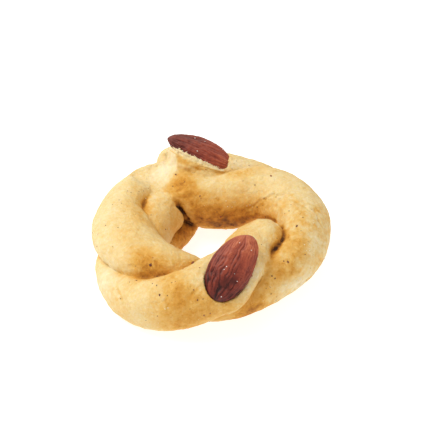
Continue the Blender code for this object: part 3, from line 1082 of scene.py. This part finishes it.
def build_crumbs():
    chooser = np.random.default_rng(51)
    places, normals, sizes = seen_lumps(
        (crust_now,), CRUMBS_SEEN, lambda size: (size, 0.8 * size, 0.7 * size)
    )
    for column in range(0, TORN_COLUMNS, 2):
        point = torn_edge[column] + chooser.normal(0, 0.12, 3)
        size = chooser.uniform(0.22, 0.50)
        places.append(point)
        normals.append(BACK)
        sizes.append((size, 0.7 * size, 0.6 * size))
    more, ways = scattered_spots(CRUMBS_STREWN, 53, CRUMBS_IN_VIEW)
    length = chooser.uniform(0.16, 0.36, len(more))
    places += list(more)
    normals += list(ways)
    sizes += list(np.stack([length, length * 0.8, length * 0.7], axis=1))
    return scatter("pale_crumbs", np.array(places), np.array(normals), np.array(sizes), 54)


def build_crystals():
    places, normals, sizes = seen_lumps(
        nut_trees.values(), CRYSTALS_SEEN, lambda size: (size, 0.8 * size, 0.6 * size)
    )
    return scatter("salt_crystals", np.array(places), np.array(normals), np.array(sizes), 61)


# ---------------------------------------------------------------- almonds


def build_almond(name, seed, pointed, shorter, cells, wander, contrast, lighter, bent):
    """A skinned almond with long grooves between rounded ridges, by its row of ALMOND_LOOKS."""
    points = almond_grid(*SKIN_GRID, pointed=pointed)
    nut = Skin(new_object(name + "_skin", points, grid_faces(*SKIN_GRID)))
    s = nut.points[:, 0] / ALMOND_LENGTH + 0.5
    nut.points[:, 0] -= shorter * s
    nut.points[:, 1] -= bent * s**3
    a = np.arctan2(nut.points[:, 2] / ALMOND_THICKNESS, nut.points[:, 1] / ALMOND_WIDTH)
    a = a + wander * noise(nut.points, 4.0, seed, 2)
    a = a + 0.4 * wander * noise(nut.points, 1.6, seed + 1)

    def lengthwise(along_it, round_it, shift):
        wrapped = (np.cos(a) * round_it * cells, np.sin(a) * round_it * cells)
        return noise(np.stack([s * along_it, *wrapped], axis=1) + shift, 1.0, seed + shift, 1)

    waves = lengthwise(3.2, 1.1, 5)
    crumpled = noise(nut.points, 1.3, seed + 9, 3)
    relief = 0.10 * waves + 0.07 * crumpled
    depth = -0.30 * waves - 0.25 * crumpled
    for along_it, round_it, shift, width, height, dark in GROOVES:
        groove = bell(lengthwise(along_it, round_it, shift), width)
        relief += height * groove
        depth += dark * groove
    ends = smooth_step(0.0, 0.14, s) * smooth_step(1.0, 0.90, s)
    nut.raise_by((ends * 0.9 + 0.1) * relief + 0.14)
    tipward = lighter * np.clip(s - 0.5, -0.3, 0.4)
    nut.attribute("groove", contrast * np.clip(depth, -0.5, 1) - tipward)
    nut.attribute("endwise", s)
    nut.points = to_world(placed(*ALMONDS[name]), nut.points)
    nut.store()
    return nut


almonds = {name: build_almond(name, *looks) for name, looks in ALMOND_LOOKS.items()}
nut_trees = {name: nut.tree() for name, nut in almonds.items()}


# ---------------------------------------------------------------- dough torn over the back almond


def nearest_seen(trees, u, v):
    """The point nearest the camera that any of the trees shows at this pixel."""
    start, _ = ray(u, v)
    found = [place[0] for place in (seen_at(tree, u, v) for tree in trees) if place]
    return min(found, key=lambda point: ((point - start) ** 2).sum()) if found else None


def build_torn_lip():
    """A ragged flap of crust from a line on the almond down to a line on the dough, and the points
    of its upper edge."""
    trees = (crust_now, nut_trees["almond_back"])
    at = np.linspace(0, 1, TORN_COLUMNS)
    keys = np.linspace(0, 1, len(TORN_TOP))
    tops = spline([(k, *p) for k, p in zip(keys, TORN_TOP)], at)
    feet = spline([(k, *p) for k, p in zip(keys, TORN_FOOT)], at)
    along_edge = np.stack([at * 20, at * 0, at * 0], axis=1)
    tops[:, 1] -= 0.9 * noise(along_edge, 0.9, 71, 2) + 0.7 * noise(along_edge, 0.22, 72, 1)
    share = np.linspace(0, 1, TORN_ROWS)
    grid = np.empty((TORN_COLUMNS, TORN_ROWS, 3))
    for i in range(TORN_COLUMNS):
        found = [nearest_seen(trees, *(tops[i] + part * (feet[i] - tops[i]))) for part in share]
        before = next(place for place in found if place is not None)
        for j, place in enumerate(found):
            before = before if place is None else place
            grid[i, j] = before
    for _ in range(3):
        inner = grid.copy()
        inner[:, 1:-1] = (grid[:, :-2] + 2 * grid[:, 1:-1] + grid[:, 2:]) / 4
        inner[1:-1] = (inner[:-2] + 2 * inner[1:-1] + inner[2:]) / 4
        grid = inner
    bulge = 0.10 + 0.55 * np.sin(np.clip(share / 0.9, 0, 1) * math.pi) ** 0.7 - 0.45 * share**3
    ends = np.sin(np.clip(np.minimum(at, 1 - at) / 0.08, 0, 1) * math.pi / 2)
    points = grid.reshape(-1, 3)
    rough = 0.16 * noise(points, 1.4, 73, 2) + 0.08 * noise(points, 0.6, 74)
    rise = (bulge[None] * ends[:, None]).ravel() + rough * np.repeat(ends, TORN_ROWS)
    upper = points + (rise - 0.25 * (1 - np.repeat(ends, TORN_ROWS)))[:, None] * BACK
    under = points - TORN_THICKNESS * BACK
    upper, under = upper.reshape(grid.shape), under.reshape(grid.shape)
    loops = np.concatenate([upper, under[:, ::-1]], axis=1)
    faces = grid_faces(TORN_COLUMNS, 2 * TORN_ROWS)
    flap = Skin(new_object("torn_lip", loops.reshape(-1, 3), faces))
    tone = 0.16 + 0.30 * smooth_step(0.35, 0.85, share)
    flap.attribute("bake_and_shading", np.tile(np.concatenate([tone, tone[::-1]]), TORN_COLUMNS))
    flap.attribute("crease", np.full(flap.count, CREASE_FAR))
    return flap.obj, upper[:, 0]


torn_lip, torn_edge = build_torn_lip()
pepper = build_pepper()
crumbs = build_crumbs()
crystals = build_crystals()


# ---------------------------------------------------------------- materials


def plug(tree, socket, value):
    """Links the value if it is a socket, and otherwise sets it."""
    if isinstance(value, bpy.types.NodeSocket):
        tree.links.new(value, socket)
    elif socket.type == "RGBA":
        socket.default_value = (*value, 1.0)
    else:
        socket.default_value = value


def add(tree, kind, settings=(), **inputs):
    """Adds a node with its own settings and its sockets, given by name."""
    node = tree.nodes.new(kind)
    for key, value in dict(settings).items():
        setattr(node, key, value)
    for key, value in inputs.items():
        wanted = key.replace("_", " ").lower()
        plug(tree, next(s for s in node.inputs if s.name.lower() == wanted and s.enabled), value)
    return node


def in_mm(tree):
    coords = tree.nodes.new("ShaderNodeTexCoord")
    scaled = add(tree, "ShaderNodeMapping", Scale=(1 / MM,) * 3)
    tree.links.new(coords.outputs["Object"], scaled.inputs["Vector"])
    return scaled.outputs["Vector"]


def maths(tree, operation, a, b=0.0, c=0.0):
    node = tree.nodes.new("ShaderNodeMath")
    node.operation = operation
    for socket, value in zip(node.inputs, (a, b, c)):
        plug(tree, socket, value)
    return node.outputs[0]


def grain(tree, place, size, detail=2.0, roughness=0.5, wisp=0.0):
    """Noise from 0 to 1 with features of this size in mm."""
    node = add(tree, "ShaderNodeTexNoise", Vector=place, Scale=1.0 / size, Detail=detail,
               Roughness=roughness, Distortion=wisp)
    return node.outputs["Fac"]


def ramp(tree, value, stops):
    node = tree.nodes.new("ShaderNodeValToRGB")
    tree.links.new(value, node.inputs["Fac"])
    elements = node.color_ramp.elements
    while len(elements) < len(stops):
        elements.new(0.5)
    for element, (at, colour) in zip(elements, stops):
        element.position = at
        element.color = (*colour, 1.0)
    return node.outputs["Color"]


def mix(tree, share, a, b, blend="MIX"):
    node = tree.nodes.new("ShaderNodeMix")
    node.data_type = "RGBA"
    node.blend_type = blend
    sockets = (node.inputs["Factor"], node.inputs[6], node.inputs[7])
    for socket, value in zip(sockets, (share, a, b)):
        plug(tree, socket, value)
    return node.outputs[2]


def attribute(tree, name):
    node = tree.nodes.new("ShaderNodeAttribute")
    node.attribute_name = name
    return node.outputs["Fac"]


def eased(tree, value, low, high, most):
    """0 as far as low, and rising smoothly to most at high."""
    node = add(tree, "ShaderNodeMapRange", {"interpolation_type": "SMOOTHSTEP"}, Value=value,
               From_Min=low, From_Max=high, To_Min=0.0, To_Max=most)
    return node.outputs[0]


def layered(tree, place, value, layers):
    """The value with layers of noise on it: size in mm, amount, then grain's own settings."""
    for size, amount, *settings in layers:
        part = maths(tree, "SUBTRACT", grain(tree, place, size, *settings), 0.5)
        value = maths(tree, "MULTIPLY_ADD", part, amount, value)
    return value


def dress(tree, shader, colour, relief, roughness, strength, depth):
    """Sets colour, roughness and a bump of this strength and depth in metres."""
    tree.links.new(colour, shader.inputs["Base Color"])
    shader.inputs["Roughness"].default_value = roughness
    bump = add(tree, "ShaderNodeBump", Strength=strength, Distance=depth, Height=relief)
    tree.links.new(bump.outputs["Normal"], shader.inputs["Normal"])


def new_material(name):
    made = bpy.data.materials.new(name)
    made.use_nodes = True
    return made, made.node_tree, made.node_tree.nodes["Principled BSDF"]


def crust_material():
    made, tree, shader = new_material("baked_crust")
    place = in_mm(tree)
    # The toast, with painted shade and painted light in it, under layers of noise.
    value = layered(tree, place, attribute(tree, "bake_and_shading"), (
        (8.0, 0.20, 3.0, 0.5, 0.0), (2.6, 0.37, 6.0, 0.60, 1.2), (0.9, 0.26, 4.0, 0.6, 0.6),
    ))
    elsewhere = add(tree, "ShaderNodeMapping", Vector=place, Location=(37.0, 11.0, 5.0)).outputs[0]
    toasted = eased(tree, grain(tree, elsewhere, 1.9, 5.0, 0.62, 0.8), 0.53, 0.66, 0.13)
    region = add(tree, "ShaderNodeMapRange", Value=attribute(tree, "bake_and_shading"), From_Min=0.25,
                 From_Max=0.65, To_Min=0.12, To_Max=1.0).outputs[0]
    value = maths(tree, "MULTIPLY_ADD", toasted, region, value)
    bare = eased(tree, grain(tree, elsewhere, 1.1, 4.0, 0.6, 0.5), 0.55, 0.68, -0.13)
    value = maths(tree, "ADD", value, bare)
    colour = ramp(tree, maths(tree, "MULTIPLY", value, 0.7), CRUST_COLOURS)
    yellower = eased(tree, grain(tree, elsewhere, 0.8, 5.0, 0.65, 0.4), 0.42, 0.62, 0.5)
    colour = mix(tree, yellower, colour, YELLOWER, "MULTIPLY")
    # A painted shade line along the open creases.
    line = maths(tree, "ABSOLUTE", attribute(tree, "crease"))
    line = maths(tree, "MULTIPLY_ADD", grain(tree, place, 1.2, 3.0), 0.7, line)
    colour = mix(tree, eased(tree, line, 0.58, 0.28, 0.55), colour, CREASE_SHADE_COLOUR)
    relief = grain(tree, place, 1.5, 6.0, 0.68, 0.5)
    dress(tree, shader, colour, relief, roughness=0.72, strength=0.8, depth=0.9 * MM)
    shader.inputs["Specular IOR Level"].default_value = 0.2
    shader.inputs["Subsurface Weight"].default_value = 0.12
    shader.inputs["Subsurface Radius"].default_value = (1.0, 0.55, 0.22)
    shader.inputs["Subsurface Scale"].default_value = 1.2 * MM
    return made


def scattered_material(name, colours, roughness):
    made, tree, shader = new_material(name)
    dark, light = colours
    place = in_mm(tree)
    value = maths(tree, "MULTIPLY_ADD", grain(tree, place, 0.3, 3.0), 0.7, attribute(tree, "tone"))
    colour = ramp(tree, maths(tree, "MULTIPLY", value, 0.6), ((0.1, dark), (0.9, light)))
    relief = grain(tree, place, 0.12)
    dress(tree, shader, colour, relief, roughness=roughness, strength=0.4, depth=0.1 * MM)
    return made


def almond_material():
    made, tree, shader = new_material("almond_skin")
    place = in_mm(tree)
    value = maths(tree, "MULTIPLY_ADD", attribute(tree, "groove"), -0.45, 0.60)
    blunt_end = eased(tree, attribute(tree, "endwise"), 0.08, 0.0, -0.12)
    value = maths(tree, "ADD", value, blunt_end)
    value = layered(tree, place, value, ((4.0, 0.35, 3.0), (0.7, 0.25, 3.0)))
    colour = ramp(tree, value, ALMOND_COLOURS)
    # A greyish painted sheen on the faces turned up, partly dust.
    facing = tree.nodes.new("ShaderNodeSeparateXYZ")
    tree.links.new(tree.nodes.new("ShaderNodeNewGeometry").outputs["Normal"], facing.inputs[0])
    dust_and_sheen = eased(tree, facing.outputs["Z"], 0.70, 1.0, 0.22)
    dust_and_sheen = maths(tree, "MULTIPLY", dust_and_sheen, grain(tree, place, 1.6, 4.0, 0.6))
    colour = mix(tree, dust_and_sheen, colour, DUST_AND_SHEEN_COLOUR)
    relief = grain(tree, place, 0.25, 3.0)
    dress(tree, shader, colour, relief, roughness=0.48, strength=0.4, depth=0.15 * MM)
    shader.inputs["Specular IOR Level"].default_value = 0.25
    return made


# ---------------------------------------------------------------- into the row frame


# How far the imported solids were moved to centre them, from the front almond's box.
low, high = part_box("almond_front")
points = to_world(placed(*ALMONDS["almond_front"]), almond_grid(*SOLID_GRID))
SHIFT = np.array((low + high) / 2) / MM - (points.min(axis=0) + points.max(axis=0)) / 2


def finish_piece(obj, material, node=None):
    """Puts the piece in the row frame in metres, with its material."""
    data = obj.data
    data.transform(Matrix.Diagonal((MM, MM, MM, 1)) @ Matrix.Translation(Vector(SHIFT)))
    data.materials.clear()
    data.materials.append(material)
    data.shade_smooth()
    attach(obj, "root")
    if node:
        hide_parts(node)


crust_skin = crust_material()
finish_piece(dough, crust_skin, "dough")
finish_piece(torn_lip, crust_skin)
finish_piece(pepper, scattered_material("ground_pepper", PEPPER_COLOURS, 0.7))
finish_piece(crumbs, scattered_material("pale_crumb", CRUMB_COLOURS, 0.7))
finish_piece(crystals, scattered_material("salt", SALT_COLOURS, 0.4))
for name, nut in almonds.items():
    finish_piece(nut.obj, almond_material(), name)


# ---------------------------------------------------------------- floor, light and camera


def turn_back(obj, place, back):
    """Puts a light or camera at a place with its back this way."""
    obj.location = place
    obj.rotation_mode = "QUATERNION"
    obj.rotation_quaternion = back.to_track_quat("Z", "Y")


def build_stage():
    made, _, shader = new_material("floor_white")
    shader.inputs["Base Color"].default_value = (0.5, 0.5, 0.5, 1)
    shader.inputs["Roughness"].default_value = 0.9
    shader.inputs["Emission Color"].default_value = (1.0, 0.995, 0.985, 1)
    shader.inputs["Emission Strength"].default_value = FLOOR_GLOW
    bpy.ops.mesh.primitive_plane_add(size=FLOOR_SIDE, location=(0, 0, 0))
    floor = bpy.context.object
    floor.name = "floor"
    floor.data.materials.append(made)

    world = bpy.data.worlds.new("studio")
    world.use_nodes = True
    background = world.node_tree.nodes["Background"]
    background.inputs["Color"].default_value = WORLD_COLOUR
    background.inputs["Strength"].default_value = WORLD_STRENGTH
    bpy.context.scene.world = world

    for name, place, size, power, colour in LIGHTS:
        light = bpy.data.lights.new(name, "AREA")
        light.size = size
        light.energy = power
        light.color = colour
        turn_back(in_scene(name, light), Vector(place), Vector(place) - Vector(AIM))


def build_camera():
    back, _ = camera_axes()
    target = (Vector(LOOK_AT) + Vector(SHIFT)) * MM
    data = bpy.data.cameras.new("camera")
    data.lens = LENS
    data.sensor_width = SENSOR
    camera = in_scene("camera", data)
    turn_back(camera, target + Vector(back) * DISTANCE * MM, Vector(back))
    bpy.context.scene.camera = camera


build_stage()
build_camera()
bpy.context.scene.view_settings.view_transform = "Standard"
